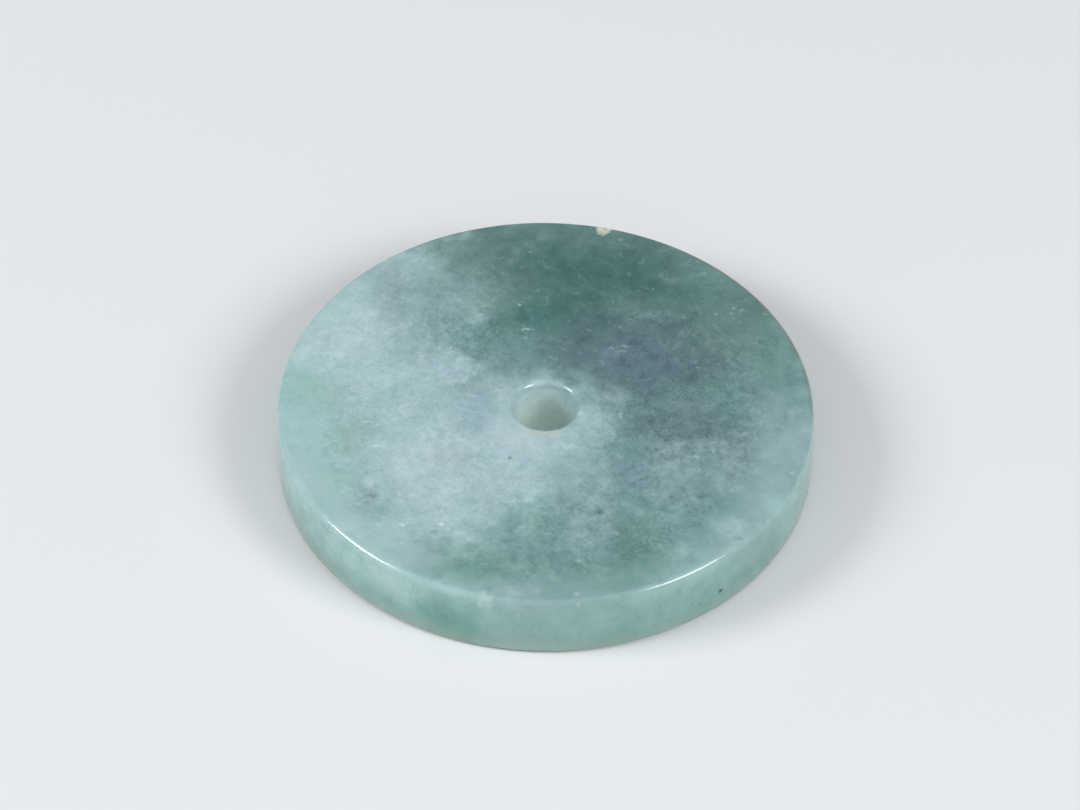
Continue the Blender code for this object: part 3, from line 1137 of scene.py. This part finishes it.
scar = jade.node("Attribute", {"attribute_type": "GEOMETRY", "attribute_name": "broken"}, {}, "Fac")
scar_grain = felt(length=0.5, stretch=1.0, turn=0, detail=2.0, roughness=0.7, seed=61)
from_rim = RADIUS - from_bore
scar_stone = tinted(CREAM, SUGAR, step(scar_grain * 1.4 + from_rim, 0.3, 1.4))
scar_stone = uneven(scar_stone, scar_grain * 0.6)
body = tinted(body, scar_stone, scar * step(from_rim + scar_grain * 0.5, 2.0, 1.4, 0.5, 1.0))

on_arris_line = step(from_bore, RADIUS - 0.8, RADIUS - 0.35)
LINE_PIECES = ((152, 0.35), (134, 0.65), (116, 0.7), (98, 0.35))  # bearings and strengths
for bearing, strength in LINE_PIECES:
    stain = ball(place, on_rim(bearing, THICKNESS - 0.25), (6.5, 6.5, 0.5), strength, soft=0.8)
    body = tinted(body, BROWN, stain * on_arris_line)
print("pieces of the brown line:", len(LINE_PIECES))

# %% [markdown]
# ## Polish
#
# The faces and the rim are glossy, the bore is dull and the scar has no polish at all. The polish isn't
# perfect: soft crystals take less of it than hard ones, and fine lines follow the rim where the disc was
# turned against the wheel.

# %% Gloss and wheel lines
POLISH = 0.15
BORE_DULLNESS = 0.32
SCAR_DULLNESS = 0.5
LINES_TO_MM = 7
WHEEL_CONTRAST = 0.10

roughness = POLISH + fleece * 0.012 + grain * 0.008 + in_bore * BORE_DULLNESS + scar * SCAR_DULLNESS

angle_round = jade.node("Math", {"operation": "ARCTAN2"}, {0: away, 1: across})
wheel_inputs = {"X": from_bore * LINES_TO_MM, "Y": angle_round * 1.5, "Z": height * LINES_TO_MM}
wheel_place = jade.node("CombineXYZ", {}, wheel_inputs)
wheel_lines = noise_at(wheel_place, 1.0, 2.0, 0.6)
body = uneven(body, (wheel_lines - 0.5) * band * WHEEL_CONTRAST)
print("nodes with the polish:", len(jade.tree.nodes))

# %% [markdown]
# ## The shader
#
# Light goes a millimetre or so into jadeite before it comes back, which softens the grain and makes the
# edges glow. Subsurface scattering does this. Its weight stays low, because most of the clouds' softness is
# painted already.

# %% The finished stone
shader = jade.node("BsdfPrincipled", {"subsurface_method": "RANDOM_WALK"}, {
    "Base Color": body,
    "Emission Color": painted_bore_glow,
    "Emission Strength": 0.4,
    "Roughness": roughness,
    "IOR": 1.66,
    "Subsurface Weight": 0.3,
    "Subsurface Radius": (1.0, 1.15, 1.1),
    "Subsurface Scale": 1.5 * MM,
})
jade.node("OutputMaterial", {}, {"Surface": shader})
mesh.materials.append(jade.material)
print("nodes in the stone:", len(jade.tree.nodes))

# %% [markdown]
# ## The floor
#
# The disc lies on a plain pale floor. It is matt, so that it only lends the stone a little light from
# below.

# %% A pale floor
FLOOR_HALF = 1.6  # metres
FLOOR_GREY = stone(228, 229, 230)

floor_mesh = bpy.data.meshes.new("floor")
floor_corners = [(-FLOOR_HALF, -FLOOR_HALF, 0), (FLOOR_HALF, -FLOOR_HALF, 0),
                 (FLOOR_HALF, FLOOR_HALF, 0), (-FLOOR_HALF, FLOOR_HALF, 0)]
floor_mesh.from_pydata(floor_corners, [], [(0, 1, 2, 3)])
floor = bpy.data.objects.new("floor", floor_mesh)
bpy.context.scene.collection.objects.link(floor)

paper = Finish("matt_paper")
paper_inputs = {"Base Color": FLOOR_GREY, "Roughness": 0.9, "Specular IOR Level": 0.2}
paper_shader = paper.node("BsdfPrincipled", {}, paper_inputs)
paper.node("OutputMaterial", {}, {"Surface": paper_shader})
floor_mesh.materials.append(paper.material)
print("floor: %.1f m wide" % (2 * FLOOR_HALF))

# %% [markdown]
# ## Light
#
# Two softboxes stand to the left and the right, a little in front of the disc. Their images are the two
# bright lines on the front arris, and they stay off the face, which mirrors the dim room behind the disc. A
# broad weak panel above the front fills the shadows.

# %% Softboxes and a fill
ROOM_COLOUR = (0.9, 0.95, 1.0, 1.0)
ROOM_STRENGTH = 0.26


def softbox(name, bearing, elevation, distance, size, power):
    """An area light aimed at the disc. Its bearing counts from the front towards the right, in degrees."""
    turn, rise = math.radians(bearing), math.radians(elevation)
    direction = Vector((math.sin(turn) * math.cos(rise), -math.cos(turn) * math.cos(rise), math.sin(rise)))
    light = bpy.data.lights.new(name, "AREA")
    light.shape = "SQUARE"
    light.size = size
    light.energy = power
    lamp = bpy.data.objects.new(name, light)
    lamp.location = direction * distance
    lamp.rotation_euler = direction.to_track_quat("Z", "Y").to_euler()
    lamp.visible_camera = False
    bpy.context.scene.collection.objects.link(lamp)
    print(name, "of", power, "W at", [round(value, 2) for value in lamp.location])


softbox("left_softbox", bearing=-79, elevation=36, distance=0.95, size=0.38, power=4.8)
softbox("right_softbox", bearing=59, elevation=38, distance=0.95, size=0.40, power=4.4)
softbox("front_fill", bearing=0, elevation=58, distance=1.4, size=2.4, power=8.6)

world = bpy.data.worlds.new("dim_room")
world.use_nodes = True
world.node_tree.nodes["Background"].inputs["Color"].default_value = ROOM_COLOUR
world.node_tree.nodes["Background"].inputs["Strength"].default_value = ROOM_STRENGTH
bpy.context.scene.world = world
bpy.context.scene.view_settings.view_transform = "Standard"

# %% [markdown]
# ## The camera
#
# The camera looks down at 45 degrees from twelve diameters away, with a long lens, so the disc's ellipse
# has almost no perspective. It was matched to the photograph by the outline of the disc and of its bore.

# %% The camera
CAMERA_DISTANCE = 24 * RADIUS * MM
CAMERA_ELEVATION = math.radians(45.45)
CAMERA_ROLL = math.radians(0.74)
FRAME_WIDTH, FRAME_HEIGHT = 1080, 810  # pixels of the photograph
PIXELS_PER_RADIUS = 267.04
DISC_AT = (544.97, 457.38)  # where the middle of the underside falls in the photograph
SENSOR = 36.0

focal_pixels = PIXELS_PER_RADIUS * CAMERA_DISTANCE / (RADIUS * MM)
forward = Vector((0, math.cos(CAMERA_ELEVATION), -math.sin(CAMERA_ELEVATION)))
level_right = Vector((1, 0, 0))
level_up = level_right.cross(forward)
right = math.cos(CAMERA_ROLL) * level_right + math.sin(CAMERA_ROLL) * level_up
up = math.cos(CAMERA_ROLL) * level_up - math.sin(CAMERA_ROLL) * level_right
aside = (DISC_AT[0] - FRAME_WIDTH / 2) / focal_pixels * CAMERA_DISTANCE
above = (FRAME_HEIGHT / 2 - DISC_AT[1]) / focal_pixels * CAMERA_DISTANCE

camera_data = bpy.data.cameras.new("camera")
camera_data.sensor_width = SENSOR
camera_data.lens = SENSOR * focal_pixels / FRAME_WIDTH
camera = bpy.data.objects.new("camera", camera_data)
eye = -(aside * right + above * up + CAMERA_DISTANCE * forward)
camera.matrix_world = Matrix.Translation(eye) @ Matrix((right, up, -forward)).transposed().to_4x4()
bpy.context.scene.collection.objects.link(camera)
bpy.context.scene.camera = camera
print("lens %.1f mm" % camera_data.lens)
